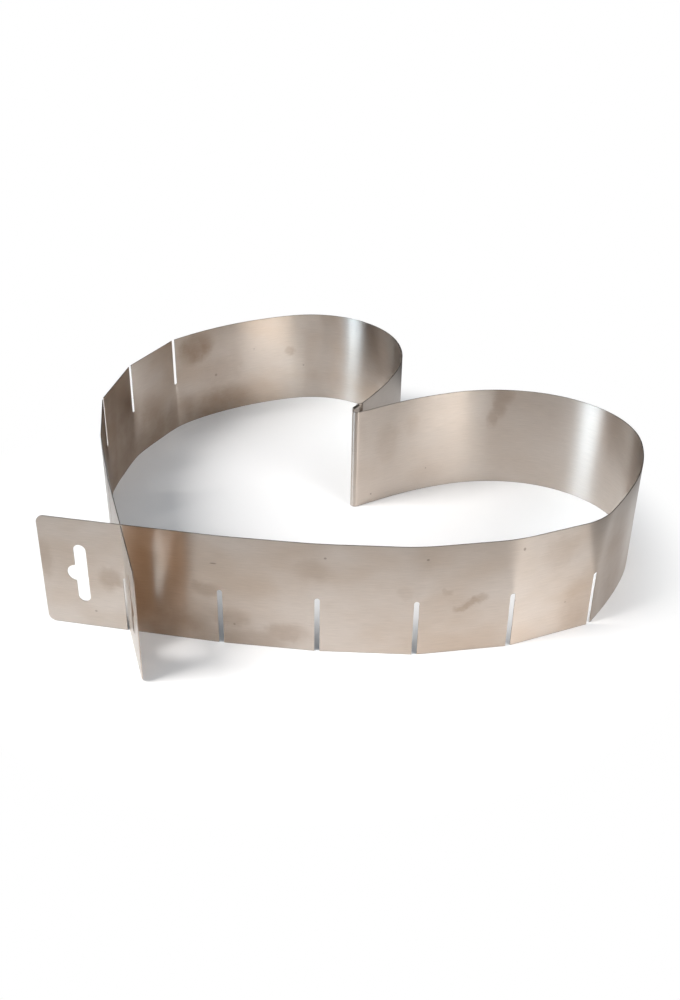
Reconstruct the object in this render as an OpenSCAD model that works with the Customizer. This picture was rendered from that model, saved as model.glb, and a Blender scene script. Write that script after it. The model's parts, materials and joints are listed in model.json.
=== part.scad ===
// Flexible cake ring, set up as a heart.
// Two springy steel bands stand on their edges. At the heart's point they cross in
// each other's slots, and beside the notch their hooked ends lie in a lock seam.
// Lifting the right band straight up frees both.

/* [Bands] */
// Height of both bands
band_h = 60; // [45:1:80]
// Thickness of the sheet
sheet_t = 0.4; // [0.3:0.05:0.6]

/* [Heart outline] */
// Developed length of each bend of a lobe
lobe_step = 43.6; // [38:0.2:50]
// Straight run of the right band from the notch to its lobe
notch_flat = 20; // [18:0.5:26]
// Radius of the bend at the notch, at the middle of the sheet
notch_r = 2.25; // [1.8:0.05:3]
// Turns of the right lobe's bends in degrees, from the notch outward
right_lobe_turns = [14.5, 29.5, 37.5, 46, 21.5, 8.5]; // [0:0.5:60]
// Turns of the right band at its slots in degrees, from the lobe to the crossing
right_slot_turns = [30.5, 14, 12, 5, 3.5]; // [0:0.5:40]
// Turns of the left lobe's bends in degrees, from the notch outward
left_lobe_turns = [14, 31.5, 41.5, 49.5, 15.5, 13]; // [0:0.5:60]
// Turns of the left band at its slots in degrees, from the lobe to the crossing
left_slot_turns = [18.5, 17, 18.5, 5.5, 2.5]; // [0:0.5:40]

/* [Slots] */
// Distance from slot to slot along a band
slot_pitch = 46; // [40:0.5:52]
// Width of a slot
slot_w = 2.5; // [2:0.1:4]
// Free height between the two slots' ends where the bands cross
slot_play = 0.6; // [0.2:0.1:2]
// Developed length over which a band bends at a slot, flat between the bends
slot_bend_l = 10; // [6:1:20]

/* [Tabs] */
// Length of a tab, from the crossing to its end
tab_l = 41.5; // [36:0.5:60]
// Radius of a tab's two corners
tab_corner_r = 4; // [2:0.5:10]
// Height of the hanging hole
hang_l = 32; // [28:0.5:36]
// Width of the hanging hole's straight part
hang_w = 6.2; // [5:0.1:7]
// Distance from the tab's end to the middle of the hanging hole
hang_inset = 20; // [16:0.5:24]
// Radius of the hanging hole's round bay
hang_bay_r = 4.3; // [3.6:0.1:5]
// Distance from the middle of the hanging hole to its bay's centre
hang_bay_x = 3; // [2.5:0.1:4]
// Radius of the corners between bay and straight part
hang_fillet_r = 1.5; // [0.8:0.1:2]

/* [Lock seam] */
// Distance along the left side from the notch bend to the left hook
seam_start = 2.5; // [2:0.1:4]
// Length over which the two hooks lie in each other
seam_lap = 4; // [3:0.5:6]
// Free distance between two layers of the seam
seam_gap = 0.1; // [0.1:0.05:0.2]
// Free distance at a hook's tip
seam_tip_gap = 0.4; // [0.3:0.1:1]
// Free distance past the right hook before the left band steps back into line
seam_pass = 0.5; // [0.4:0.1:1.5]

/* [Hidden] */

steel_colour = [0.71, 0.67, 0.63];
// Largest turn between two points of an outline, on the wide bends and on the tight ones
wide_facet_turn = 3;
tight_facet_turn = 12;
round_facets = 72;
step_turn = 45;
cut_over = 1;

// Layers of the seam lie this far apart, and each hook is a half turn of this radius
layer = sheet_t + seam_gap;
hook_turn = 180;
hook_l = arc_length(layer, hook_turn);
hook_reach = layer + sheet_t / 2;
lip_l = seam_lap - seam_tip_gap;

// The left band runs beside the seam, three layers out, and steps back into line
out_layers = 3;
step_out = out_layers * layer;
step_r = step_out / 2 / (1 - cos(step_turn));
step_l = arc_length(step_r, step_turn);
step_run = 2 * step_r * sin(step_turn);
left_hook_run = seam_lap + hook_reach + seam_pass;
left_step_end = seam_start + left_hook_run + step_run;

slot_depth = (band_h + slot_play) / 2;

// A run is [developed length, turn], and a place is [x, y, heading]
function arc_length(r, turn) = r * turn * PI / 180;
function flipped(turns) = [for (turn = turns) -turn];

// Place reached after going along a run
function next_place(place, run) =
    let (h = place[2], l = run[0], turn = run[1])
    turn == 0
    ? [place[0] + l * cos(h), place[1] + l * sin(h), h]
    : let (r = l / (turn * PI / 180))
      [place[0] + r * (sin(h + turn) - sin(h)), place[1] - r * (cos(h + turn) - cos(h)), h + turn];

// Places at the start of each run and at the end of the last
function places(start, runs, i = 0) =
    i == len(runs)
    ? [start]
    : concat([start], places(next_place(start, runs[i]), runs, i + 1));

// Places along the runs, close enough for a smooth outline
function run_route(start, run, facet_turn) =
    let (steps = max(1, ceil(abs(run[1]) / facet_turn)))
    [for (i = [1 : steps]) next_place(start, run * (i / steps))];
function route(start, runs, facet_turn) =
    let (starts = places(start, runs))
    concat([start], [for (i = [0 : len(runs) - 1]) each run_route(starts[i], runs[i], facet_turn)]);

// A route walked from its other end
function reversed(list) = [for (i = [len(list) - 1 : -1 : 0]) list[i]];
function about_face(place) = [place[0], place[1], place[2] + 180];
function walked_back(route) = [for (place = reversed(route)) about_face(place)];

function last(list) = list[len(list) - 1];
function turned(p, a) = [p[0] * cos(a) - p[1] * sin(a), p[0] * sin(a) + p[1] * cos(a)];

// Bends of a lobe. The last gives up the half of the first slot's bend.
function lobe_runs(turns) =
    [for (i = [0 : len(turns) - 1])
        [i == len(turns) - 1 ? lobe_step - slot_bend_l / 2 : lobe_step, turns[i]]];

// Each slot lies in the middle of its bend, and a flat run leads on to the next
function slot_runs(turns) =
    [for (i = [0 : len(turns) - 1])
        let (half_bend = [slot_bend_l / 2, turns[i] / 2],
             bends_in_pitch = i == len(turns) - 1 ? 1 / 2 : 1)
        each [half_bend, half_bend, [slot_pitch - bends_in_pitch * slot_bend_l, 0]]];

// A band's outline from its notch flat to the crossing, with its first run along +X
function band_runs(flat, lobe_turns, slot_turns) =
    concat([[flat, 0]], lobe_runs(lobe_turns), slot_runs(slot_turns));
right_runs = band_runs(notch_flat, flipped(right_lobe_turns), flipped(right_slot_turns));
left_turns_only = band_runs(0, left_lobe_turns, left_slot_turns);

// The right band sets how far the crossing lies from the centre of the notch bend.
// The left band's flat run has the length that brings its crossing slot to the same place.
right_reach = last(places([0, -notch_r, 0], right_runs));
left_reach = last(places([0, notch_r, 0], left_turns_only));
heart_depth = norm([right_reach[0], right_reach[1]]);
left_flat = -left_reach[0] - sqrt(heart_depth * heart_depth - left_reach[1] * left_reach[1]);
left_runs = band_runs(left_flat, left_lobe_turns, left_slot_turns);

// Both outlines are turned about the notch until the crossing lies straight in front of it
right_heading = -90 - atan2(right_reach[1], right_reach[0]);
left_heading = -90 - atan2(left_reach[1], left_reach[0] + left_flat);
notch_turn = 180 - (left_heading - right_heading + 360) % 360;
right_start = concat(turned([0, -notch_r], right_heading), right_heading);
left_start = concat(turned([0, notch_r], left_heading), left_heading);
right_places = places(right_start, right_runs);
left_places = places(left_start, left_runs);

// The right band's hooked end, from the notch bend back: the bend itself, the leg beside
// the left band, the hook and its lip
notch_l = arc_length(notch_r, notch_turn);
right_hook_runs = [[notch_l, -notch_turn], [seam_start + seam_lap, 0], [hook_l, hook_turn],
                   [lip_l, 0]];

// The left band's hooked end, from its flat run back: a double bend out of line, the run
// past the right hook, the hook and its lip
left_hook_runs = [[step_l, -step_turn], [step_l, step_turn], [left_hook_run, 0], [hook_l, hook_turn],
                  [lip_l, 0]];
left_step_place = next_place(left_start, [left_step_end, 0]);

// Whole routes from a hook's lip to the end of the tab
function whole_route(hook_start, hook_runs, runs) =
    concat(walked_back(route(about_face(hook_start), hook_runs, tight_facet_turn)),
           route(next_place(hook_start, runs[0]), skip_first(runs), wide_facet_turn));
function skip_first(list) = [for (i = [1 : len(list) - 1]) list[i]];
tab_run = [tab_l, 0];
left_flat_run = [left_flat - left_step_end, 0];
right_route = whole_route(right_start, right_hook_runs, concat(right_runs, [tab_run]));
left_route = whole_route(left_step_place, left_hook_runs,
                         concat([left_flat_run], skip_first(left_runs), [tab_run]));

// Outline of the sheet seen from above, down one side and back up the other
function side_points(route, side) =
    [for (place = route) [place[0], place[1]] + turned([0, side * sheet_t / 2], place[2])];
function outline(route) = concat(side_points(route, -1), reversed(side_points(route, 1)));
all_points = concat(outline(right_route), outline(left_route));
all_x = [for (p = all_points) p[0]];
all_y = [for (p = all_points) p[1]];
footprint_centre = [(min(all_x) + max(all_x)) / 2, (min(all_y) + max(all_y)) / 2];

module at_place(place) {
    translate([place[0], place[1], 0])
        rotate([0, 0, place[2]])
            children();
}

// Hanging hole standing upright, its bay towards +X
module hang_hole() {
    edge_x = hang_w / 2;
    end_y = (hang_l - hang_w) / 2;
    fillet_x = edge_x + hang_fillet_r;
    bay_span = hang_bay_r + hang_fillet_r;
    fillet_y = sqrt(bay_span * bay_span - (fillet_x - hang_bay_x) * (fillet_x - hang_bay_x));
    translate([-edge_x, -end_y])
        square([hang_w, 2 * end_y]);
    for (y = [-end_y, end_y])
        translate([0, y])
            circle(d = hang_w, $fn = round_facets);
    translate([hang_bay_x, 0])
        circle(r = hang_bay_r, $fn = round_facets);
    difference() {
        polygon([[0, -fillet_y], [fillet_x, -fillet_y], [hang_bay_x + hang_bay_r / 2, 0],
                 [fillet_x, fillet_y], [0, fillet_y]]);
        for (y = [-fillet_y, fillet_y])
            translate([fillet_x, y])
                circle(r = hang_fillet_r, $fn = round_facets);
    }
}

// What is cut from a tab: the hanging hole and both corners outside their rounding
module tab_cuts() {
    corner_x = tab_l - tab_corner_r;
    across = sheet_t + 2 * cut_over;
    corner_l = tab_corner_r + cut_over;
    translate([0, across / 2, 0])
        rotate([90, 0, 0])
            linear_extrude(across) {
                translate([tab_l - hang_inset, band_h / 2])
                    hang_hole();
                for (at_top = [0, 1])
                    translate([corner_x, at_top * band_h])
                        mirror([0, at_top])
                            difference() {
                                translate([0, -cut_over])
                                    square([corner_l, corner_l]);
                                translate([0, tab_corner_r])
                                    circle(r = tab_corner_r, $fn = round_facets);
                            }
            }
}

// Slot open at the bottom edge, with a round inner end
module slot_cut() {
    across = sheet_t + 2 * cut_over;
    end_z = slot_depth - slot_w / 2;
    translate([-slot_w / 2, -across / 2, -cut_over])
        cube([slot_w, across, end_z + cut_over]);
    translate([0, across / 2, end_z])
        rotate([90, 0, 0])
            cylinder(d = slot_w, h = across, $fn = round_facets);
}

// A whole band, with its slots open at the bottom edge
module slotted_band(band_route, its_slots) {
    difference() {
        linear_extrude(band_h)
            polygon(outline(band_route));
        for (place = its_slots)
            at_place(place)
                slot_cut();
        at_place(last(its_slots))
            tab_cuts();
    }
}

// A band's slots: halfway through each slot's bend, and the crossing at the end
function slot_places(band_places, lobe_turns, slot_turns) =
    let (first_slot = len(lobe_turns) + 2, runs_a_slot = 3)
    concat([for (i = [0 : len(slot_turns) - 1]) band_places[first_slot + i * runs_a_slot]],
           [last(band_places)]);

module right_band() {
    color(steel_colour)
        translate([-footprint_centre[0], -footprint_centre[1], 0])
            slotted_band(right_route, slot_places(right_places, right_lobe_turns, right_slot_turns));
}

module left_band() {
    color(steel_colour)
        translate([-footprint_centre[0], -footprint_centre[1], band_h])
            mirror([0, 0, 1])
                slotted_band(left_route, slot_places(left_places, left_lobe_turns, left_slot_turns));
}

right_band();
left_band();
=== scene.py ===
import json
import math

import bpy
import numpy as np
from bpy.props import FloatProperty, FloatVectorProperty, PointerProperty
from mathutils import Matrix, Vector

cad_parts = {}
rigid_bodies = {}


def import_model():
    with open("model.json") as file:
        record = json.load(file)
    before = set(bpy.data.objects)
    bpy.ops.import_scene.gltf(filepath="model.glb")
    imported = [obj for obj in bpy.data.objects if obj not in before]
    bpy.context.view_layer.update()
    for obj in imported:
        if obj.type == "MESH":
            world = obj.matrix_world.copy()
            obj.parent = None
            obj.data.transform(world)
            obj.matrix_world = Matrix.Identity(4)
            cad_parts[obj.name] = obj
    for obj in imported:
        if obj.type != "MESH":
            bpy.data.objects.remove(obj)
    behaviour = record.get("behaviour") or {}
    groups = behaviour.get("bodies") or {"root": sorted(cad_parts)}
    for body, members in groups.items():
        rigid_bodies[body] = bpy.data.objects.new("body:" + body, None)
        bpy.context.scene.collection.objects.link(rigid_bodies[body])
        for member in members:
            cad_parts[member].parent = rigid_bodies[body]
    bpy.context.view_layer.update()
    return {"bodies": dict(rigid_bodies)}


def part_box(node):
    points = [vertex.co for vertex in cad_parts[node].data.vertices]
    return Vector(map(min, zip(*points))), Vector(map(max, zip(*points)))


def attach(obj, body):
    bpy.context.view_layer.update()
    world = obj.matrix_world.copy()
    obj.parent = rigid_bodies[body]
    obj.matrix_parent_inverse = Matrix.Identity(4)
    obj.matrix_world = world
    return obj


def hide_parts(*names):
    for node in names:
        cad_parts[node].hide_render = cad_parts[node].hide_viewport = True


bl_info = {
    "name": "Flexible cake ring",
    "version": (1, 0, 0),
    "blender": (4, 5, 0),
    "location": "3D View > Sidebar > Cake ring",
    "description": "Two slotted bands of brushed steel, cut flat, folded and bent into a heart",
    "category": "Object",
}

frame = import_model()

# Sheets are cut and edged a thousand times too large, far above the tools' merging distances, so
# the lengths of the cutting below are in millimetres
WORK = 1000.0

# Shares of the plan's width and depth that are kept: the blended lobes would bulge past the solids
# by a third of a millimetre
PLAN_FIT = (0.9979, 0.9992)


# What a user may change


class CakeRingSizes(bpy.types.PropertyGroup):
    """Sizes of the two bands"""

    band_height: FloatProperty(
        name="Band height", description="Height of both bands", default=0.06, unit="LENGTH"
    )
    sheet: FloatProperty(
        name="Sheet", description="Thickness of the sheet", default=0.0004, unit="LENGTH"
    )
    edge_break: FloatProperty(
        name="Edge break", description="Width of the broken edge round every cut", default=0.00005,
        unit="LENGTH"
    )
    notch_flat: FloatProperty(
        name="Notch flat", description="Straight run of the right band from the notch to its lobe",
        default=0.02, unit="LENGTH"
    )
    notch_radius: FloatProperty(
        name="Notch radius",
        description="Radius of the bend at the notch, at the middle of the sheet", default=0.00225,
        unit="LENGTH"
    )
    lobe_step: FloatProperty(
        name="Lobe step", description="Developed length of each bend of a lobe", default=0.0436,
        unit="LENGTH"
    )
    lobe_blend: FloatProperty(
        name="Lobe blend", description="Length over which one bend of a lobe passes into the next",
        default=0.014, unit="LENGTH"
    )
    right_lobe_turns: FloatVectorProperty(
        name="Right lobe turns",
        description="Turns of the right lobe's bends, from the notch outward", size=6,
        default=[math.radians(a) for a in (14.5, 29.5, 37.5, 46, 21.5, 8.5)], unit="ROTATION"
    )
    left_lobe_turns: FloatVectorProperty(
        name="Left lobe turns",
        description="Turns of the left lobe's bends, from the notch outward", size=6,
        default=[math.radians(a) for a in (14, 31.5, 41.5, 49.5, 15.5, 13)], unit="ROTATION"
    )
    right_slot_turns: FloatVectorProperty(
        name="Right slot turns",
        description="Turns of the right band at its slots, from the lobe to the crossing", size=5,
        default=[math.radians(a) for a in (30.5, 14, 12, 5, 3.5)], unit="ROTATION"
    )
    left_slot_turns: FloatVectorProperty(
        name="Left slot turns",
        description="Turns of the left band at its slots, from the lobe to the crossing", size=5,
        default=[math.radians(a) for a in (18.5, 17, 18.5, 5.5, 2.5)], unit="ROTATION"
    )
    slot_pitch: FloatProperty(
        name="Slot pitch", description="Distance from slot to slot along a band", default=0.046,
        unit="LENGTH"
    )
    slot_width: FloatProperty(
        name="Slot width", description="Width of a slot", default=0.0025, unit="LENGTH"
    )
    slot_play: FloatProperty(
        name="Slot play",
        description="Free height between the two slots' ends where the bands cross", default=0.0006,
        unit="LENGTH"
    )
    mean_bend: FloatProperty(
        name="Mean bend", description="Mean developed length of the bend at a slot", default=0.01,
        unit="LENGTH"
    )
    sharp_bend: FloatProperty(
        name="Sharp bend", description="Length of that bend beside the slot itself",
        default=0.0025, unit="LENGTH"
    )
    right_wide_bend: FloatProperty(
        name="Right wide bend",
        description="Length of that bend at the right band's plain edge, above the slot",
        default=0.02, unit="LENGTH"
    )
    left_wide_bend: FloatProperty(
        name="Left wide bend",
        description="Length of that bend at the left band's plain edge, below the slot",
        default=0.03, unit="LENGTH"
    )
    left_crease: FloatProperty(
        name="Left crease",
        description="Share of that turn that stays as sharp down to the left band's plain edge",
        default=0.3, subtype="FACTOR"
    )
    tab_length: FloatProperty(
        name="Tab length", description="Length of a tab, from the crossing to its end",
        default=0.0415, unit="LENGTH"
    )
    tab_corner: FloatProperty(
        name="Tab corner", description="Radius of a tab's corners", default=0.004, unit="LENGTH"
    )
    hang_length: FloatProperty(
        name="Hanging hole", description="Height of the hanging hole", default=0.032, unit="LENGTH"
    )
    hang_width: FloatProperty(
        name="Hole width", description="Width of the hanging hole's straight part", default=0.0062,
        unit="LENGTH"
    )
    hang_inset: FloatProperty(
        name="Hole inset",
        description="Distance from the tab's end to the middle of the hanging hole", default=0.02,
        unit="LENGTH"
    )
    hang_bay: FloatProperty(
        name="Bay radius", description="Radius of the hanging hole's round bay", default=0.0043,
        unit="LENGTH"
    )
    hang_bay_offset: FloatProperty(
        name="Bay offset", description="Distance from the middle of the hole to its bay's centre",
        default=0.003, unit="LENGTH"
    )
    hang_fillet: FloatProperty(
        name="Bay fillet", description="Radius of the corners between bay and straight part",
        default=0.0015, unit="LENGTH"
    )
    seam_start: FloatProperty(
        name="Seam start", description="Distance from the notch bend to the left hook",
        default=0.0025, unit="LENGTH"
    )
    seam_lap: FloatProperty(
        name="Seam lap", description="Length over which the two hooks lie in each other",
        default=0.004, unit="LENGTH"
    )
    seam_gap: FloatProperty(
        name="Seam gap", description="Free distance between two layers of the seam", default=0.0001,
        unit="LENGTH"
    )
    seam_tip_gap: FloatProperty(
        name="Seam tip gap", description="Free distance at a hook's tip", default=0.0004,
        unit="LENGTH"
    )
    seam_pass: FloatProperty(
        name="Seam pass",
        description="Free distance past the right hook before the left band steps back",
        default=0.0005, unit="LENGTH"
    )


class CakeRingSteel(bpy.types.PropertyGroup):
    """Colours and finish of the sheet"""

    bare: FloatVectorProperty(
        name="Bare steel", description="Colour of the clean brushed sheet",
        default=(0.612, 0.540, 0.482), subtype="COLOR"
    )
    warm: FloatVectorProperty(
        name="Warm steel", description="Colour where the sheet is tinted by heat and handling",
        default=(0.545, 0.440, 0.355), subtype="COLOR"
    )
    # This colour also paints shade in the wide patches at the crossing and on the left band's inner
    # wall
    stain: FloatVectorProperty(
        name="Stain", description="Colour in the middle of a heat stain",
        default=(0.340, 0.235, 0.160), subtype="COLOR"
    )
    pit: FloatVectorProperty(
        name="Pit", description="Colour in the middle of a small pit",
        default=(0.20, 0.155, 0.125), subtype="COLOR"
    )
    roughness: FloatProperty(
        name="Roughness", description="Mean roughness of the brushed face", default=0.30,
        subtype="FACTOR"
    )
    brushing: FloatProperty(
        name="Brushing", description="How much more the grain scatters across itself than along",
        default=0.95, subtype="FACTOR"
    )
    grain_depth: FloatProperty(
        name="Grain depth", description="Depth of the brushed grain", default=0.000012,
        unit="LENGTH"
    )


class CakeRingStage(bpy.types.PropertyGroup):
    """Camera, floor, lamps and flags"""

    camera_place: FloatVectorProperty(
        name="Camera place", description="Where the camera stands",
        default=(0.361392, -0.386365, 0.331959), subtype="TRANSLATION", unit="LENGTH"
    )
    camera_heading: FloatProperty(
        name="Camera heading", description="Direction of view from +X towards +Y",
        default=math.radians(131.438), unit="ROTATION"
    )
    camera_pitch: FloatProperty(
        name="Camera pitch", description="How far the camera looks down",
        default=math.radians(30.318), unit="ROTATION"
    )
    camera_roll: FloatProperty(
        name="Camera roll", description="How far the camera is rolled", default=math.radians(0.984),
        unit="ROTATION"
    )
    lens: FloatProperty(
        name="Lens", description="Focal length over a sensor 36 mm high", default=40.624,
        unit="CAMERA"
    )
    floor_size: FloatProperty(
        name="Floor", description="Side of the square floor", default=9.0, unit="LENGTH"
    )
    shadow_end: FloatProperty(
        name="Shadow end",
        description="Distance from the middle at which the floor starts to turn plain white",
        default=0.158, unit="LENGTH"
    )
    white_start: FloatProperty(
        name="White start",
        description="Distance from the middle from which the floor is plain white", default=0.215,
        unit="LENGTH"
    )
    sky: FloatProperty(
        name="Room light", description="Light that the white room throws on the floor",
        default=0.28, subtype="FACTOR"
    )
    key_power: FloatProperty(
        name="Key", description="Power of the tall softbox at the left", default=77.0, unit="POWER"
    )
    key_shine: FloatProperty(
        name="Key's shine", description="Power of the lamp that the steel mirrors in its place",
        default=10.2, unit="POWER"
    )
    fill_power: FloatProperty(
        name="Fill", description="Power of the softbox at the right", default=6.8, unit="POWER"
    )
    fill_shine: FloatProperty(
        name="Fill's shine", description="Power of the lamp that the steel mirrors in its place",
        default=1.9, unit="POWER"
    )
    window_shine: FloatProperty(
        name="Window's shine",
        description="Power of the narrow far lamp at the left that only the steel mirrors",
        default=14.0, unit="POWER"
    )
    flag_radius: FloatProperty(
        name="Flags", description="Radius at which the dark flags start that the steel mirrors",
        default=0.185, unit="LENGTH"
    )
    flag_place: FloatVectorProperty(
        name="Flags' middle",
        description="Middle of the ring that the dark flags form round the table", size=2,
        default=(0.03, 0.0), unit="LENGTH"
    )
    flag_fade: FloatProperty(
        name="Flags' fade", description="Width over which the flags' inner edge fades",
        default=0.09, unit="LENGTH"
    )
    flag_grey: FloatProperty(
        name="Flags' grey", description="How light the flags are", default=0.10, subtype="FACTOR"
    )


# The line that a band follows, seen from above

# Turn of each of the two bends in which the left band steps out of the heart's line, and the
# number of layers by which it does
STEP_TURN = math.pi / 4
STEP_LAYERS = 3


def along(place, run):
    """The place (x, y, heading) reached after a run (developed length, turn)"""
    x, y, heading = place
    length, turn = run
    if turn == 0:
        return (x + length * math.cos(heading), y + length * math.sin(heading), heading)
    radius = length / turn
    ahead = heading + turn
    return (
        x + radius * (math.sin(ahead) - math.sin(heading)),
        y - radius * (math.cos(ahead) - math.cos(heading)),
        ahead,
    )


def end_of(place, runs):
    """The place reached after all runs"""
    for run in runs:
        place = along(place, run)
    return place


def heart_runs(sizes, flat, lobe_turns, slot_turns, way):
    """Runs of a band from the notch to the crossing, each slot in the middle of its bend"""
    half = sizes.mean_bend / 2
    runs = [(flat, 0.0)] + [(sizes.lobe_step, way * turn) for turn in lobe_turns[:-1]]
    runs.append((sizes.lobe_step - half, way * lobe_turns[-1]))
    for i, turn in enumerate(slot_turns):
        last = i == len(slot_turns) - 1
        runs.append((2 * half, way * turn))
        runs.append((sizes.slot_pitch - (half if last else 2 * half), 0.0))
    return runs


def lay_out_heart(sizes):
    """Where both bands start beside the notch and where they cross"""
    radius = sizes.notch_radius
    right = heart_runs(sizes, sizes.notch_flat, sizes.right_lobe_turns, sizes.right_slot_turns, -1)
    left = heart_runs(sizes, 0.0, sizes.left_lobe_turns, sizes.left_slot_turns, 1)
    rx, ry, _ = end_of((0.0, -radius, 0.0), right)
    lx, ly, _ = end_of((0.0, radius, 0.0), left)
    depth = math.hypot(rx, ry)
    left_flat = -lx - math.sqrt(depth * depth - ly * ly)
    right_heading = -math.pi / 2 - math.atan2(ry, rx)
    left_heading = -math.pi / 2 - math.atan2(ly, lx + left_flat)
    starts = {}
    for side, heading, way in (("right", right_heading, -1), ("left", left_heading, 1)):
        starts[side] = (-way * radius * math.sin(heading), way * radius * math.cos(heading), heading)
    return {
        "starts": starts,
        "left_flat": left_flat,
        "notch_turn": math.pi - (left_heading - right_heading) % (2 * math.pi),
        "crossing": (0.0, -depth),
    }


def left_step(sizes):
    """The left band's way back into line: the run before it and the radius of its two bends"""
    layer = sizes.sheet + sizes.seam_gap
    run = sizes.seam_lap + layer + sizes.sheet / 2 + sizes.seam_pass
    radius = STEP_LAYERS * layer / 2 / (1 - math.cos(STEP_TURN))
    return run, radius


def hook_runs(sizes, side, notch_turn):
    """Runs of a band's folded end, from the hook's lip to the place where its heart line starts"""
    lip = (sizes.seam_lap - sizes.seam_tip_gap, 0.0)
    fold = ((sizes.sheet + sizes.seam_gap) * math.pi, -math.pi)
    if side == "right":
        leg = (sizes.seam_start + sizes.seam_lap, 0.0)
        return [lip, fold, leg, (sizes.notch_radius * notch_turn, notch_turn)]
    run, radius = left_step(sizes)
    bend = radius * STEP_TURN
    return [lip, fold, (run, 0.0), (bend, -STEP_TURN), (bend, STEP_TURN)]


def left_step_end(sizes):
    """Distance from the notch along the left band's flat to the end of the double bend"""
    run, radius = left_step(sizes)
    return sizes.seam_start + run + 2 * radius * math.sin(STEP_TURN)


class BandLine:
    """The middle of a band's sheet from the lip of its hook (most negative s) to its tab's end"""

    # Distance from sample to sample along the line
    step = 0.00005
    # Number of bend widths, from sharp to wide, for which the line is worked out
    width_count = 9

    # Columns of the flat sheet: largest turn of one in the hook, usual length of one there, and
    # the length of one on the band and near a slot
    hook_turn = math.radians(10)
    hook_column = 0.004
    column = 0.002
    slot_column = 0.0007
    # How far from a slot the close columns reach and the others end
    slot_reach = 0.0105
    slot_clear = 0.0108
    # Least distances between two columns, from the lip and from the tab's rounded corners
    column_gap = 0.00008
    lip_gap = 0.00001
    corner_gap = 0.0001

    def __init__(self, sizes, side):
        self.sizes = sizes
        heart = lay_out_heart(sizes)
        way = -1 if side == "right" else 1
        self.way = way
        self.hook = hook_runs(sizes, side, heart["notch_turn"])
        if side == "right":
            self.start = heart["starts"]["right"]
            flat = sizes.notch_flat
            lobe_turns, slot_turns = sizes.right_lobe_turns, sizes.right_slot_turns
            self.wide_bend = sizes.right_wide_bend
            self.crease = 0.0
        else:
            gone = left_step_end(sizes)
            self.start = along(heart["starts"]["left"], (gone, 0.0))
            flat = heart["left_flat"] - gone
            lobe_turns, slot_turns = sizes.left_lobe_turns, sizes.left_slot_turns
            self.wide_bend = sizes.left_wide_bend
            self.crease = sizes.left_crease
        self.crossing = heart["crossing"]
        first_slot = flat + len(lobe_turns) * sizes.lobe_step
        self.slots = [first_slot + i * sizes.slot_pitch for i in range(len(slot_turns) + 1)]
        self.slot_turns = [way * turn for turn in slot_turns]
        self.cross_s = self.slots[-1]
        self.end_s = self.cross_s + sizes.tab_length
        self.lip_s = -sum(run[0] for run in self.hook)
        self.flat = flat
        self.lobe_ends = [flat + i * sizes.lobe_step for i in range(len(lobe_turns))]
        self.lobe_ends.append(first_slot - sizes.mean_bend / 2)
        self.lobe_heading = [0.0]
        for turn in lobe_turns:
            self.lobe_heading.append(self.lobe_heading[-1] + way * turn)
        self.s = np.arange(self.lip_s, self.end_s + self.step, self.step)
        self.widths = np.linspace(sizes.sharp_bend, self.wide_bend, self.width_count)
        self.curves = [self.curve(width) for width in self.widths]

    def headings(self, width):
        """Heading at each sample for one width of the bends at the slots"""
        s = self.s
        heading = np.interp(s, self.lobe_ends, self.lobe_heading)
        span = max(1, int(self.sizes.lobe_blend / self.step / 2))
        kernel = np.hanning(2 * span + 3)[1:-1]
        kernel /= kernel.sum()
        padded = np.r_[np.full(span, heading[0]), heading, np.full(span, heading[-1])]
        heading = np.convolve(padded, kernel, mode="valid")
        for slot, turn in zip(self.slots, self.slot_turns):
            sharp = np.clip((s - slot) / self.sizes.sharp_bend + 0.5, 0, 1)
            wide = np.clip((s - slot) / width + 0.5, 0, 1)
            heading = heading + turn * (self.crease * sharp + (1 - self.crease) * wide)
        knots, turns = [self.lip_s], [0.0]
        for length, turn in self.hook:
            knots.append(knots[-1] + length)
            turns.append(turns[-1] + turn)
        folded = np.interp(s, knots, np.array(turns) - turns[-1])
        return self.start[2] + heading + folded

    def curve(self, width):
        """x, y and heading along the band for one width of the bends at its slots"""
        heading = self.headings(width)
        middle = (heading[1:] + heading[:-1]) / 2
        x = np.r_[0, np.cumsum(np.cos(middle) * self.step)]
        y = np.r_[0, np.cumsum(np.sin(middle) * self.step)]
        x += self.start[0] - np.interp(0.0, self.s, x)
        y += self.start[1] - np.interp(0.0, self.s, y)
        # what the blended bends miss the crossing by is spread smoothly over the band
        off_x = self.crossing[0] - np.interp(self.cross_s, self.s, x)
        off_y = self.crossing[1] - np.interp(self.cross_s, self.s, y)
        share = np.clip((self.s - self.flat) / (self.cross_s - self.flat), 0, 1)
        share = share * share * (3 - 2 * share)
        return x + off_x * share, y + off_y * share, heading

    def bend_width(self, z):
        """Wide at the plain edge, as narrow as the slot beside it"""
        half = self.sizes.band_height / 2
        from_slotted = z if self.way < 0 else self.sizes.band_height - z
        rise = np.clip((from_slotted - half) / half, 0, 1)
        return self.sizes.sharp_bend + (self.wide_bend - self.sizes.sharp_bend) * rise

    def bent(self, flat_places, centre):
        """Flat places (s, off the middle of the sheet, height) moved to where the bent band has them"""
        s, off, z = flat_places.T
        at = (self.bend_width(z) - self.widths[0]) / (self.widths[-1] - self.widths[0])
        at = at * (len(self.widths) - 1)
        low = np.clip(np.floor(at).astype(int), 0, len(self.widths) - 2)
        part = at - low
        values = np.zeros((3, len(s)))
        for k, curve in enumerate(self.curves):
            weight = np.where(low == k, 1 - part, 0) + np.where(low == k - 1, part, 0)
            used = weight > 0
            for row, column in zip(values, curve):
                row[used] += weight[used] * np.interp(s[used], self.s, column)
        x, y, heading = values
        x = (x - off * np.sin(heading) - centre[0]) * PLAN_FIT[0]
        y = (y + off * np.cos(heading) - centre[1]) * PLAN_FIT[1]
        return np.c_[x, y, z]

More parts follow.
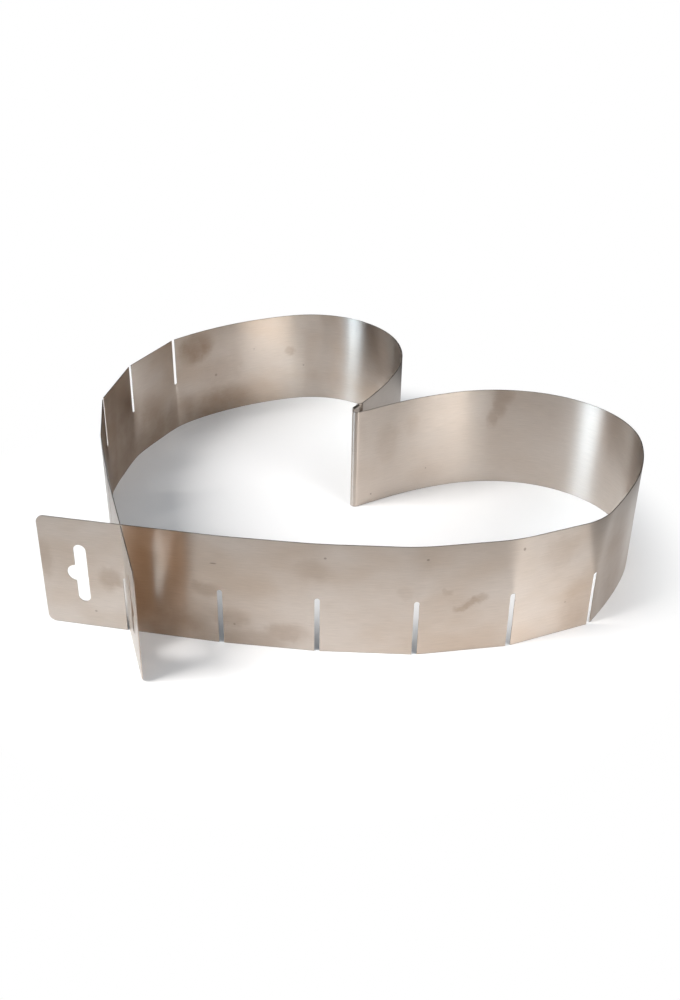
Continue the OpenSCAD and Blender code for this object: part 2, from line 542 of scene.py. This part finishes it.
    def columns(self):
        """Where the flat sheet is divided, closely where it bends tightly"""
        cuts = []
        at = self.lip_s
        for length, turn in self.hook:
            fewest = math.ceil(abs(turn) / self.hook_turn)
            count = max(1, fewest, round(length / self.hook_column))
            cuts += [at + length * i / count for i in range(count)]
            at += length
        cuts += list(np.arange(0.0, self.end_s, self.column))
        last = self.slot_reach + self.slot_column / 2
        for slot in self.slots[:-1]:
            near = np.arange(-self.slot_reach, last, self.slot_column) + slot
            cuts = [cut for cut in cuts if abs(cut - slot) > self.slot_clear] + list(near)
        first = self.lip_s + self.lip_gap
        last = self.end_s - self.sizes.tab_corner - self.corner_gap
        cuts = sorted(cut for cut in cuts if first < cut < last)
        kept = [cuts[0]]
        for cut in cuts[1:]:
            if cut - kept[-1] > self.column_gap:
                kept.append(cut)
        return kept


# Workshop helpers


def deselect_all():
    if bpy.context.object and bpy.context.object.mode != "OBJECT":
        bpy.ops.object.mode_set(mode="OBJECT")
    bpy.ops.object.select_all(action="DESELECT")


def only(piece):
    """Selects this piece alone and makes it the active one"""
    deselect_all()
    piece.select_set(True)
    bpy.context.view_layer.objects.active = piece


def edit_all():
    """Goes into edit mode and selects everything there"""
    bpy.ops.object.mode_set(mode="EDIT")
    bpy.ops.mesh.select_all(action="SELECT")


def pick(piece, kind, test):
    """In edit mode, selects the vertices or edges whose places pass the test"""
    bpy.ops.object.mode_set(mode="EDIT")
    bpy.ops.mesh.select_mode(type=kind)
    bpy.ops.mesh.select_all(action="DESELECT")
    bpy.ops.object.mode_set(mode="OBJECT")
    vertices = piece.data.vertices
    if kind == "VERT":
        for vertex in vertices:
            vertex.select = test(vertex.co)
    else:
        for edge in piece.data.edges:
            edge.select = test(*(vertices[i].co for i in edge.vertices))
    bpy.ops.object.mode_set(mode="EDIT")


def settle(piece):
    """Puts a piece's place, turn and size into its mesh"""
    only(piece)
    bpy.ops.object.transform_apply(location=True, rotation=True, scale=True)


def combine(piece, other, operation):
    """Cuts the other piece's space out of this one or joins it on, and throws the other away"""
    only(piece)
    cut = piece.modifiers.new("combine", "BOOLEAN")
    cut.operation = operation
    cut.solver = "EXACT"
    cut.object = other
    bpy.ops.object.modifier_apply(modifier=cut.name)
    bpy.data.objects.remove(other)


# Cutting the flat sheet, in millimetres

# Length of a cutter across the sheet, and how far the cutter of an open slot runs past the edge
CUTTER_LENGTH = 4.0
OVERRUN = 3.0
# How near a line must lie to the place where it is looked for: the sheet's edge, the side of the
# hanging hole, and the height at which the bay meets that side
NEAR_EDGE = 0.01
NEAR_SIDE = 0.12
NEAR_BAY = 0.3
# Sides of the rounds and steps of the rounded corners
SLOT_SIDES = 32
BAY_SIDES = 48
FILLET_STEPS = 6
CORNER_STEPS = 8
EDGE_STEPS = 2
# Edges at which the sheet turns by more than this are broken
EDGE_TURN = math.radians(50)
# Rows into which the sheet is divided, and how far they lie above even shares of its height, clear
# of the points that are there already
ROWS = 12
ROW_SHIFT = 0.013
# Distance under which a division takes a point that it meets as its own
SNAP = 0.00001


def round_bar(radius, sides, x):
    """A round bar across the sheet at this place along it"""
    deselect_all()
    bpy.ops.mesh.primitive_cylinder_add(
        vertices=sides,
        radius=radius,
        depth=CUTTER_LENGTH,
        location=(x, 0, 0),
        rotation=(math.pi / 2, 0, 0),
    )
    bar = bpy.context.object
    settle(bar)
    return bar


def stretched_round(width, low, high, x):
    """An upright cutter with round ends, from low to high, lying across the sheet"""
    radius = width / 2
    cutter = round_bar(radius, SLOT_SIDES, 0)
    edit_all()
    half_side = math.pi / SLOT_SIDES
    bpy.ops.transform.rotate(value=half_side, orient_axis="Y", center_override=(0, 0, 0))
    pick(cutter, "VERT", lambda co: co.z > 0)
    bpy.ops.transform.translate(value=(0, 0, high - radius))
    pick(cutter, "VERT", lambda co: co.z < radius / 2 and co.z < (high - radius) / 2)
    bpy.ops.transform.translate(value=(0, 0, low + radius))
    edit_all()
    bpy.ops.transform.translate(value=(x, 0, 0))
    bpy.ops.object.mode_set(mode="OBJECT")
    return cutter


def hanging_hole(sizes, x):
    """Cutter for the hanging hole: an upright slot with a round bay and filleted corners"""
    reach = sizes.hang_length * WORK / 2
    side = sizes.hang_width * WORK / 2
    bay = sizes.hang_bay * WORK
    hole = stretched_round(2 * side, -reach, reach, 0.0)
    combine(hole, round_bar(bay, BAY_SIDES, sizes.hang_bay_offset * WORK), "UNION")
    pick(
        hole,
        "EDGE",
        lambda a, b: abs(a.x - side) < NEAR_SIDE
        and abs(b.x - side) < NEAR_SIDE
        and abs(a.y - b.y) > CUTTER_LENGTH / 2
        and abs(abs(a.z) - bay) < NEAR_BAY,
    )
    bpy.ops.mesh.bevel(offset=sizes.hang_fillet * WORK, segments=FILLET_STEPS, affect="EDGES")
    edit_all()
    bpy.ops.transform.translate(value=(x, 0, sizes.band_height * WORK / 2))
    bpy.ops.object.mode_set(mode="OBJECT")
    return hole


def blank_sheet(name, sizes, line):
    """The band's flat sheet before its cuts, with the tab's corners rounded"""
    height = sizes.band_height * WORK
    length = (line.end_s - line.lip_s) * WORK
    deselect_all()
    bpy.ops.mesh.primitive_cube_add(size=1, location=(0, 0, 0))
    sheet = bpy.context.object
    sheet.name = name
    sheet.data.name = name
    edit_all()
    bpy.ops.transform.resize(
        value=(length, sizes.sheet * WORK, height), center_override=(0, 0, 0)
    )
    bpy.ops.transform.translate(value=(line.lip_s * WORK + length / 2, 0, height / 2))
    far = line.end_s * WORK - NEAR_EDGE
    pick(sheet, "EDGE", lambda a, b: a.x > far and b.x > far and abs(a.z - b.z) < NEAR_EDGE)
    bpy.ops.mesh.bevel(offset=sizes.tab_corner * WORK, segments=CORNER_STEPS, affect="EDGES")
    bpy.ops.object.mode_set(mode="OBJECT")
    return sheet


def cut_openings(sheet, sizes, line):
    """Cuts the slots and the hanging hole out of the flat sheet"""
    height = sizes.band_height * WORK
    depth = (sizes.band_height + sizes.slot_play) / 2 * WORK
    if line.way < 0:
        low, high = -OVERRUN, depth
    else:
        low, high = height - depth, height + OVERRUN
    for slot in line.slots:
        cutter = stretched_round(sizes.slot_width * WORK, low, high, slot * WORK)
        combine(sheet, cutter, "DIFFERENCE")
    hole_x = (line.end_s - sizes.hang_inset) * WORK
    combine(sheet, hanging_hole(sizes, hole_x), "DIFFERENCE")


def break_edges(sheet, sizes):
    only(sheet)
    edge = sheet.modifiers.new("broken edges", "BEVEL")
    edge.width = sizes.edge_break * WORK
    edge.segments = EDGE_STEPS
    edge.limit_method = "ANGLE"
    edge.angle_limit = EDGE_TURN
    bpy.ops.object.modifier_apply(modifier=edge.name)


def divide(sheet, sizes, line):
    """Divides the flat sheet so that it can be bent"""
    only(sheet)
    bpy.ops.object.mode_set(mode="EDIT")
    cuts = [((s * WORK, 0, 0), (1, 0, 0)) for s in line.columns()]
    for row in range(1, ROWS):
        z = sizes.band_height * WORK * row / ROWS + ROW_SHIFT
        cuts.append(((0, 0, z), (0, 0, 1)))
    for place, normal in cuts:
        bpy.ops.mesh.select_all(action="SELECT")
        bpy.ops.mesh.bisect(plane_co=place, plane_no=normal, threshold=SNAP)
    bpy.ops.mesh.select_all(action="DESELECT")
    bpy.ops.object.mode_set(mode="OBJECT")


# Bending the sheet

# Faces that meet at less than this are shaded as one: those of the bends, but not the broken edges
SMOOTH_TURN = math.radians(16)


def bend_sheet(sheet, line, centre):
    """Keeps each point's place on the flat sheet for the grain, then bends the sheet"""
    count = len(sheet.data.vertices)
    flat = np.zeros(count * 3)
    sheet.data.vertices.foreach_get("co", flat)
    flat = flat.reshape(-1, 3) / WORK
    kept = sheet.data.attributes.new("flat_place", "FLOAT_VECTOR", "POINT")
    kept.data.foreach_set("vector", flat.ravel().astype(np.float32))
    sheet.data.vertices.foreach_set("co", line.bent(flat, centre).ravel())
    corners = np.zeros(len(sheet.data.loops), dtype=np.int32)
    sheet.data.loops.foreach_get("vertex_index", corners)
    length = line.end_s - line.lip_s
    along_band = np.c_[(flat[:, 0] - line.lip_s) / length, flat[:, 2] / length][corners]
    layer = sheet.data.uv_layers.new(name="along_band")
    layer.data.foreach_set("uv", along_band.ravel().astype(np.float32))
    sheet.data.update()


def heart_centre(sizes, right_line):
    """The middle of the footprint, which is the frame's origin, found from the right tab's end"""
    low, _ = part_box("right_band")
    x, y = right_line.crossing
    heading = right_line.curves[0][2][-1]
    half = sizes.sheet / 2
    west = x + sizes.tab_length * math.cos(heading) - half * abs(math.sin(heading))
    south = y + sizes.tab_length * math.sin(heading) - half * abs(math.cos(heading))
    return (west - low[0], south - low[1])


def make_band(side):
    """Cuts a band's sheet flat, bends it and puts it in its solid's place"""
    body = side + "_band"
    if body not in frame["bodies"]:
        raise RuntimeError("The frame has no " + body)
    sizes = bpy.context.scene.cake_ring_sizes
    line = BandLine(sizes, side)
    centre = heart_centre(sizes, line if side == "right" else BandLine(sizes, "right"))
    sheet = blank_sheet(body + "_sheet", sizes, line)
    cut_openings(sheet, sizes, line)
    break_edges(sheet, sizes)
    divide(sheet, sizes, line)
    bend_sheet(sheet, line, centre)
    only(sheet)
    bpy.ops.object.shade_smooth_by_angle(angle=SMOOTH_TURN)
    settle(sheet)
    sheet.data.materials.clear()
    sheet.data.materials.append(steel_finish(side, sizes))
    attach(sheet, body)
    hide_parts(body)
    deselect_all()


# Steel


class Wire:
    """A socket of a material being built, with arithmetic that adds Math nodes"""

    def __init__(self, bench, socket):
        self.bench = bench
        self.socket = socket

    def maths(self, operation, *values):
        return self.bench.add("ShaderNodeMath", 0, {"operation": operation}, *values)

    def __add__(self, other):
        return self.maths("ADD", self, other)

    def __radd__(self, other):
        return self.maths("ADD", other, self)

    def __sub__(self, other):
        return self.maths("SUBTRACT", self, other)

    def __rsub__(self, other):
        return self.maths("SUBTRACT", other, self)

    def __mul__(self, other):
        return self.maths("MULTIPLY", self, other)

    def __rmul__(self, other):
        return self.maths("MULTIPLY", other, self)

    def __gt__(self, other):
        return self.maths("GREATER_THAN", self, other)

    def __lt__(self, other):
        return self.maths("LESS_THAN", self, other)


class Bench:
    """Builds the nodes of one material, or of the world"""

    def __init__(self, material):
        self.material = material
        material.use_nodes = True
        self.tree = material.node_tree
        self.tree.nodes.clear()

    def feed(self, socket, value):
        """Links a wire to a socket, or sets the socket's own value"""
        if isinstance(value, Wire):
            self.tree.links.new(value.socket, socket)
        elif socket.type == "RGBA":
            socket.default_value = (*value, 1.0)
        else:
            socket.default_value = value

    def add(self, kind, output, settings=None, *values, **named):
        """Adds a node with its settings and its sockets' values or wires, by place or by name"""
        node = self.tree.nodes.new(kind)
        for key, value in (settings or {}).items():
            setattr(node, key, value)
        for place, value in enumerate(values):
            self.feed(node.inputs[place], value)
        for name, value in named.items():
            self.feed(node.inputs[name.replace("_", " ")], value)
        return Wire(self, node.outputs[output])

    def joined(self, x, y, z):
        return self.add("ShaderNodeCombineXYZ", 0, None, x, y, z)

    def ramp(self, value, low, high, low_to=0.0, high_to=1.0):
        """Passes smoothly from one value to the other while the given value goes from low to high"""
        settings = {"interpolation_type": "SMOOTHSTEP"}
        return self.add("ShaderNodeMapRange", 0, settings, value, low, high, low_to, high_to)

    def blend(self, share, a, b, how="MIX"):
        """Blends two colours"""
        mix = self.add("ShaderNodeMix", 2, {"data_type": "RGBA", "blend_type": how}, share)
        colours = mix.socket.node.inputs[6:8]
        self.feed(colours[0], a)
        self.feed(colours[1], b)
        return mix

    def vector(self, operation, output, *values):
        return self.add("ShaderNodeVectorMath", output, {"operation": operation}, *values)

    def finish(self, shader, output="ShaderNodeOutputMaterial"):
        out = self.tree.nodes.new(output)
        self.tree.links.new(shader.socket, out.inputs["Surface"])


# Heat stains with painted shade, and pits, in millimetres on the flat band: place along it, height,
# face (1 is the left side on the way from the notch to the tab), reach along and up, and strength. The
# small stains are the sheet's own; the wide dark patches at the crossing and on the left band's inner
# wall are painted shade, with some heat tint in them
STAINS_AND_SHADE = {
    "right": (
        (353, 24.5, 1, 5, 2.8, 0.34),
        (349.5, 26, 1, 5, 3.6, 0.42),
        (346, 28, 1, 4.5, 3.6, 0.42),
        (342.5, 30, 1, 4, 3, 0.32),
        (359, 34, 1, 3.2, 2.8, 0.22),
        (379, 35, 1, 5, 5, 0.15),
        (304, 47, 1, 13, 13, 0.26),
        (288, 14, 1, 16, 24, 0.35),
        (257, 28, 1, 22, 40, 0.42),
        (472, 30, 1, 9, 5, 0.32),
        (460, 15, 1, 12, 7, 0.36),
        (434, 9, 1, 14, 8, 0.42),
        (450, 3, 1, 24, 9, 0.32),
        (422, 45, 1, 12, 8, 0.2),
        # painted shade, with some heat tint: these two darken the corner where the right band meets the
        # crossing
        (488, 3, 1, 24, 19, 0.6),
        (499, 30, 1, 12, 40, 0.15),
        (519, 29, 1, 8.5, 8.5, 0.4),
        (551, 36, 1, 5, 14, 0.22),
        (91.5, 57, -1, 8, 9, 0.34),
        (89.5, 49, -1, 6, 10, 0.34),
        (86.5, 42, -1, 4.5, 8, 0.34),
        (20, 36, -1, 11, 16, 0.2),
        (36, 44, -1, 6, 9, 0.14),
        (46, 10, -1, 16, 10, 0.14),
    ),
    "left": (
        # The wide patches here are painted shade darkening the left band's inner wall, with some heat
        # tint; 186.5 is a small stain
        (255, 50, 1, 17, 15, 0.7),
        (239, 30, 1, 18, 14, 0.2),
        (226, 33, 1, 7, 16, 0.16),
        (186.5, 35, 1, 4.5, 4, 0.3),
        (238, 4, 1, 34, 20, 0.65),
        (272, 6, 1, 26, 20, 0.55),
        (290, 15, 1, 8, 7, 0.35),
        (301, 8, 1, 26, 34, 0.6),
        (335, 20, 1, 34, 38, 0.75),
        (362, 30, 1, 30, 50, 0.8),
        # painted shade, with some heat tint, in the corner at the crossing and on the tab
        (523, 30, 1, 34, 70, 1.0),
    ),
}
PITS = {
    "right": (
        (416, 52.5, 1, 0.88, 0.72, 0.6),
        (369.5, 53, 1, 0.96, 0.8, 0.56),
        (324, 54, 1, 0.88, 1.2, 0.6),
        (468, 44.8, 1, 2.08, 0.56, 0.6),
        (326.5, 26, 1, 0.8, 0.8, 0.45),
        (459, 11.5, 1, 0.8, 0.8, 0.45),
        (528, 9, 1, 0.96, 0.8, 0.45),
        (297.5, 17.5, 1, 0.72, 0.72, 0.38),
        (9.5, 5.5, -1, 0.8, 0.72, 0.6),
        (46.5, 13.5, -1, 0.64, 0.64, 0.6),
    ),
    "left": (
        (240.5, 27.5, 1, 1.28, 1.28, 0.45),
        (177.5, 24, 1, 0.72, 0.72, 0.45),
        (212, 40, 1, 0.64, 0.64, 0.38),
    ),
}

# Patterns on the flat band: how fast each changes in a millimetre along it and up it, how far it is
# shifted from face to face and at the start, then its detail, roughness and distortion
FINE_GRAIN = (0.12, 4.5, 7.0, 0.0, 3.0, 0.65, 0.0)
COARSE_GRAIN = (0.012, 0.9, 3.0, 40.0, 2.0, 0.55, 0.0)
CLOUDS = (0.018, 0.026, 5.0, 11.0, 3.0, 0.55, 0.0)
RAGGED_RIMS = (0.16, 0.16, 9.0, 0.0, 3.0, 0.6, 0.4)
PATCHES = (0.05, 0.05, 13.0, 0.0, 4.0, 0.6, 0.0)
# How far, in millimetres up the band, every pattern is shifted from face to face
FACE_SHIFT = 173.0

# Share of the fine grain in the whole grain, and strength of its bump
FINE_SHARE = 0.85
GRAIN_BUMP = 0.3
# Range, in metres, over which the ragged pattern moves a stain's rim
RAG = 0.007
# Share of the reach of a stain, a painted shade patch and a pit that is fully marked, and the number of
# reaches that half the sheet's thickness counts as, so that no spot shows on the other face
STAIN_AND_SHADE_CORE = 0.35
PIT_CORE = 0.4
FACE_REACH = 1.5
# Ranges of a pattern's value, or of a distance in millimetres, and what the effect goes from and to
PATCH_RANGE = (0.25, 0.7, 0.65, 1.15)
WARM_RANGE = (0.35, 0.72)
RIM_RANGE = (0.1, 0.45, 0.72, 1.0)
GRAIN_RANGE = (0.3, 0.7, 0.93, 1.06)
# Strength of the warm tint on face -1, and how much more of it face 1 has
WARM_LEAST = 0.3
WARM_MORE = 0.5
# How much the coarse grain, the clouds and the stains with their painted shade change the roughness
COARSE_ROUGHNESS = 0.05
CLOUD_ROUGHNESS = 0.08
STAIN_AND_SHADE_ROUGHNESS = 0.05
# Turns the shader's brushing along the band
GRAIN_TURN = 0.25


def spotted(bench, flat, spots, sheet, core):
    """How strongly spots mark a place on the flat sheet: full in each one's core, none at its rim"""
    marked = None
    for s, z, face, wide, high, strength in spots:
        scale = (WORK / wide, FACE_REACH / (sheet / 2), WORK / high)
        centre = (-s / wide, -FACE_REACH * face, -z / high)
        from_centre = bench.vector("MULTIPLY_ADD", "Vector", flat, scale, centre)
        spot = bench.ramp(bench.vector("LENGTH", "Value", from_centre), core, 1.0, strength, 0.0)
        marked = spot if marked is None else marked.maths("MAXIMUM", marked, spot)
    return marked


def steel_finish(side, sizes):
    """Brushed steel with its grain along the band, warm clouds, stains and painted shade, pits and dark
    cut edges
    """
    steel = bpy.context.scene.cake_ring_steel
    bench = Bench(bpy.data.materials.new("brushed steel, %s band" % side))
    flat = bench.add("ShaderNodeAttribute", "Vector", {"attribute_name": "flat_place"})
    parts = bench.add("ShaderNodeSeparateXYZ", 0, None, flat).socket.node
    s, off, z = (Wire(bench, parts.outputs[axis]) * WORK for axis in "XYZ")
    face = off > 0
    up = z + face * FACE_SHIFT

    def pattern(kind):
        on_s, on_z, on_face, start, detail, roughness, distortion = kind
        return bench.add(
            "ShaderNodeTexNoise",
            "Fac",
            None,
            Vector=bench.joined(s * on_s, face * on_face + start, up * on_z),
            Scale=1.0,
            Detail=detail,
            Roughness=roughness,
            Distortion=distortion,
        )

    coarse = pattern(COARSE_GRAIN)
    clouds = pattern(CLOUDS)
    grain = pattern(FINE_GRAIN) * FINE_SHARE + coarse * (1 - FINE_SHARE)
    bump = bench.add(
        "ShaderNodeBump",
        "Normal",
        None,
        Strength=GRAIN_BUMP,
        Distance=steel.grain_depth,
        Height=grain,
    )

    ragged = (pattern(RAGGED_RIMS) - 0.5) * RAG
    moved = bench.vector("ADD", "Vector", flat, bench.joined(ragged, 0.0, ragged))
    # Real heat stains, and wide patches of painted shade at the crossing and on the left band's inner
    # wall
    stained_and_shaded = spotted(bench, moved, STAINS_AND_SHADE[side], sizes.sheet, STAIN_AND_SHADE_CORE)
    stained_and_shaded = stained_and_shaded * bench.ramp(pattern(PATCHES), *PATCH_RANGE)
    pitted = spotted(bench, flat, PITS[side], sizes.sheet, PIT_CORE)

    warmed = bench.ramp(clouds, *WARM_RANGE) * (face * WARM_MORE + WARM_LEAST)
    colour = bench.blend(warmed, steel.bare, steel.warm)
    colour = bench.blend(stained_and_shaded, colour, steel.stain)
    colour = bench.blend(pitted, colour, steel.pit)
    from_edge = z.maths("MINIMUM", z, sizes.band_height * WORK - z)
    shade = bench.ramp(grain, *GRAIN_RANGE) * bench.ramp(from_edge, *RIM_RANGE)
    colour = bench.blend(1.0, colour, bench.joined(shade, shade, shade), how="MULTIPLY")
    rough = (
        steel.roughness
        + (coarse - 0.5) * COARSE_ROUGHNESS
        + (clouds - 0.5) * CLOUD_ROUGHNESS
        + stained_and_shaded * STAIN_AND_SHADE_ROUGHNESS
    )
    shader = bench.add(
        "ShaderNodeBsdfPrincipled",
        0,
        None,
        Base_Color=colour,
        Roughness=rough,
        Metallic=1.0,
        Anisotropic=steel.brushing,
        Anisotropic_Rotation=GRAIN_TURN,
        Normal=bump,
    )
    bench.finish(shader)
    return bench.material


# Stage

WHITE = (1.0, 1.0, 1.0)
WARM = (1.0, 0.98, 0.95)
WARM_KEY = (1.0, 0.965, 0.935)
COOL = (0.64, 0.83, 1.0)
# Place that every lamp faces
AIM = Vector((0, 0, 0.03))
# Each lamp: azimuth and elevation in degrees of the direction that it stands in, distance, width
# and height, colour, the property that holds its power, and the rays that don't see it
LAMPS = {
    "key": ((-119, 43), 2.6, (1.2, 1.4), WARM_KEY, "key_power", "visible_glossy"),
    "key_shine": ((-120, 28), 0.85, (0.29, 0.66), COOL, "key_shine", "visible_diffuse"),
    "fill": ((-3, 20), 1.0, (0.5, 0.5), WHITE, "fill_power", "visible_glossy"),
    "fill_shine": ((2.5, 25), 0.64, (0.21, 0.38), WARM, "fill_shine", "visible_diffuse"),
    "window_shine": ((-168, 24), 2.6, (0.3, 1.2), COOL, "window_shine", "visible_diffuse"),
}

# Grey and roughness of the paper, and how far it lies below the bands' edges
PAPER = (0.97, 0.97, 0.97)
PAPER_ROUGHNESS = 0.9
PAPER_DROP = 0.0001
# Sides of the flags' ring, how far they stand from its middle and how high they reach, and how far
# their inner part lies above the table
FLAG_SIDES = 96
FLAG_REACH = 1.6
FLAG_LIFT = 0.0008

# Middle of the gap in the flags in front of the right tab, and where its edge starts and ends
GAP = (-0.02, -0.26, 0)
GAP_RANGE = (0.06, 0.12)

# Colour of the room's light, which keeps the shadows neutral beside the warm steel
ROOM_TINT = (0.88, 0.97, 1.07)

# Height of the camera's sensor in millimetres, and nearest distance that it sees
SENSOR = 36.0
NEAREST = 0.01


def seen_rays(bench):
    """1 for what the camera, the steel's reflections and glass see, 0 for light on the object"""
    rays = bench.add("ShaderNodeLightPath", "Is Camera Ray").socket.node
    kinds = ("Is Camera Ray", "Is Glossy Ray", "Is Transmission Ray")
    camera, glossy, through = (Wire(bench, rays.outputs[kind]) for kind in kinds)
    return bench.ramp(camera + glossy + through, 0.0, 1.0)


def lay_floor(stage):
    """White paper that keeps the ring's shadow and turns to plain white further out"""
    deselect_all()
    bpy.ops.mesh.primitive_plane_add(size=stage.floor_size, location=(0, 0, -PAPER_DROP))
    floor = bpy.context.object
    floor.name = "floor"
    settle(floor)
    bench = Bench(bpy.data.materials.new("white paper"))
    paper = bench.add(
        "ShaderNodeBsdfPrincipled", 0, None, Base_Color=PAPER, Roughness=PAPER_ROUGHNESS
    )
    white = bench.add("ShaderNodeEmission", 0, None, Color=WHITE, Strength=1.0)
    away = bench.vector("LENGTH", "Value", bench.add("ShaderNodeTexCoord", "Object"))
    share = bench.ramp(away, stage.shadow_end, stage.white_start) * seen_rays(bench)
    bench.finish(bench.add("ShaderNodeMixShader", 0, None, share, paper, white))
    floor.data.materials.append(bench.material)


def light_room(stage):
    """A white room, dimmer and cooler for the light that it throws than for what is seen of it"""
    world = bpy.data.worlds.new("white room")
    bpy.context.scene.world = world
    bench = Bench(world)
    seen = seen_rays(bench)
    strength = seen * (1.0 - stage.sky) + stage.sky
    colour = bench.blend(seen, ROOM_TINT, WHITE)
    background = bench.add("ShaderNodeBackground", 0, None, Color=colour, Strength=strength)
    bench.finish(background, "ShaderNodeOutputWorld")


def hang_flags(stage):
    """Dark cards round the table and over it, which only the steel mirrors"""
    deselect_all()
    middle = (*stage.flag_place, 0)
    bpy.ops.mesh.primitive_circle_add(
        vertices=FLAG_SIDES, radius=stage.flag_radius, location=(*stage.flag_place, FLAG_LIFT)
    )
    flags = bpy.context.object
    flags.name = "flags"
    edit_all()
    bpy.ops.mesh.extrude_edges_move()
    wider = FLAG_REACH / stage.flag_radius
    bpy.ops.transform.resize(value=(wider, wider, 1), center_override=middle)
    bpy.ops.mesh.extrude_edges_move(TRANSFORM_OT_translate={"value": (0, 0, FLAG_REACH)})
    bpy.ops.mesh.edge_face_add()
    bpy.ops.object.mode_set(mode="OBJECT")
    settle(flags)
    bench = Bench(bpy.data.materials.new("dark flag"))
    place = bench.add("ShaderNodeTexCoord", "Object")
    away = bench.vector("DISTANCE", "Value", place, middle)
    share = bench.ramp(away, stage.flag_radius, stage.flag_radius + stage.flag_fade)
    away = bench.vector("DISTANCE", "Value", place, GAP)
    share = share * bench.ramp(away, *GAP_RANGE)
    card = bench.add("ShaderNodeEmission", 0, None, Color=(stage.flag_grey,) * 3, Strength=1.0)
    clear = bench.add("ShaderNodeBsdfTransparent", 0)
    bench.finish(bench.add("ShaderNodeMixShader", 0, None, share, clear, card))
    flags.data.materials.append(bench.material)
    flags.visible_camera = False
    flags.visible_diffuse = False
    flags.visible_shadow = False
    flags.visible_transmission = False


def towards(azimuth, elevation):
    """A step of one metre in this direction"""
    level = math.cos(elevation)
    return Vector((level * math.cos(azimuth), level * math.sin(azimuth), math.sin(elevation)))


def soft_box(name, direction, distance, size, colour, power):
    """A rectangular lamp that faces the middle of the ring"""
    deselect_all()
    away = towards(*(math.radians(angle) for angle in direction))
    turned = away.to_track_quat("Z", "Y").to_euler()
    bpy.ops.object.light_add(type="AREA", location=AIM + away * distance, rotation=turned)
    lamp = bpy.context.object
    lamp.name = name
    lamp.data.shape = "RECTANGLE"
    lamp.data.size, lamp.data.size_y = size
    lamp.data.energy = power
    lamp.data.color = colour
    lamp.visible_camera = False
    return lamp


def set_lamps(stage):
    for name, (direction, distance, size, colour, power, unseen_by) in LAMPS.items():
        lamp = soft_box(name, direction, distance, size, colour, getattr(stage, power))
        setattr(lamp, unseen_by, False)


def set_camera(stage):
    """The camera as it was solved from the photograph"""
    heading, pitch, roll = stage.camera_heading, stage.camera_pitch, stage.camera_roll
    ahead = towards(heading, -pitch)
    right = Vector((math.sin(heading), -math.cos(heading), 0))
    up = right.cross(ahead)
    turned_right = right * math.cos(roll) + up * math.sin(roll)
    turned_up = up * math.cos(roll) - right * math.sin(roll)
    axes = Matrix((turned_right, turned_up, -ahead)).transposed()
    bpy.ops.object.camera_add(location=stage.camera_place, rotation=axes.to_euler())
    camera = bpy.context.object
    camera.name = "photo camera"
    camera.data.sensor_fit = "VERTICAL"
    camera.data.sensor_height = SENSOR
    camera.data.lens = stage.lens
    camera.data.clip_start = NEAREST
    bpy.context.scene.camera = camera


# Operators and panel


class CAKERING_OT_right_band(bpy.types.Operator):
    """Cuts, folds and bends the right band"""

    bl_idname = "cakering.right_band"
    bl_label = "Right band"

    def execute(self, context):
        make_band("right")
        return {"FINISHED"}


class CAKERING_OT_left_band(bpy.types.Operator):
    """Cuts, folds and bends the left band"""

    bl_idname = "cakering.left_band"
    bl_label = "Left band"

    def execute(self, context):
        make_band("left")
        return {"FINISHED"}


class CAKERING_OT_stage(bpy.types.Operator):
    """Lays the floor and sets room, flags, lamps and camera"""

    bl_idname = "cakering.stage"
    bl_label = "Stage"

    def execute(self, context):
        stage = context.scene.cake_ring_stage
        lay_floor(stage)
        light_room(stage)
        hang_flags(stage)
        set_lamps(stage)
        set_camera(stage)
        context.scene.view_settings.view_transform = "Standard"
        return {"FINISHED"}


class CAKERING_PT_panel(bpy.types.Panel):
    """Lists the sizes, colours and lamps, and the operators that use them"""

    bl_label = "Cake ring"
    bl_idname = "CAKERING_PT_panel"
    bl_space_type = "VIEW_3D"
    bl_region_type = "UI"
    bl_category = "Cake ring"

    def draw(self, context):
        for group, _ in GROUPS:
            box = self.layout.box()
            values = getattr(context.scene, group)
            for name in values.bl_rna.properties.keys():
                if name not in ("rna_type", "name"):
                    box.prop(values, name)
        for operator in OPERATORS:
            self.layout.operator(operator.bl_idname)


OPERATORS = (CAKERING_OT_right_band, CAKERING_OT_left_band, CAKERING_OT_stage)
GROUPS = (
    ("cake_ring_sizes", CakeRingSizes),
    ("cake_ring_steel", CakeRingSteel),
    ("cake_ring_stage", CakeRingStage),
)


def register():
    for name, group in GROUPS:
        bpy.utils.register_class(group)
        setattr(bpy.types.Scene, name, PointerProperty(type=group))
    for cls in OPERATORS + (CAKERING_PT_panel,):
        bpy.utils.register_class(cls)


def unregister():
    for cls in (CAKERING_PT_panel,) + OPERATORS:
        bpy.utils.unregister_class(cls)
    for name, group in GROUPS:
        delattr(bpy.types.Scene, name)
        bpy.utils.unregister_class(group)


def main():
    register()
    bpy.ops.cakering.right_band()
    bpy.ops.cakering.left_band()
    bpy.ops.cakering.stage()


if __name__ == "__main__":
    main()
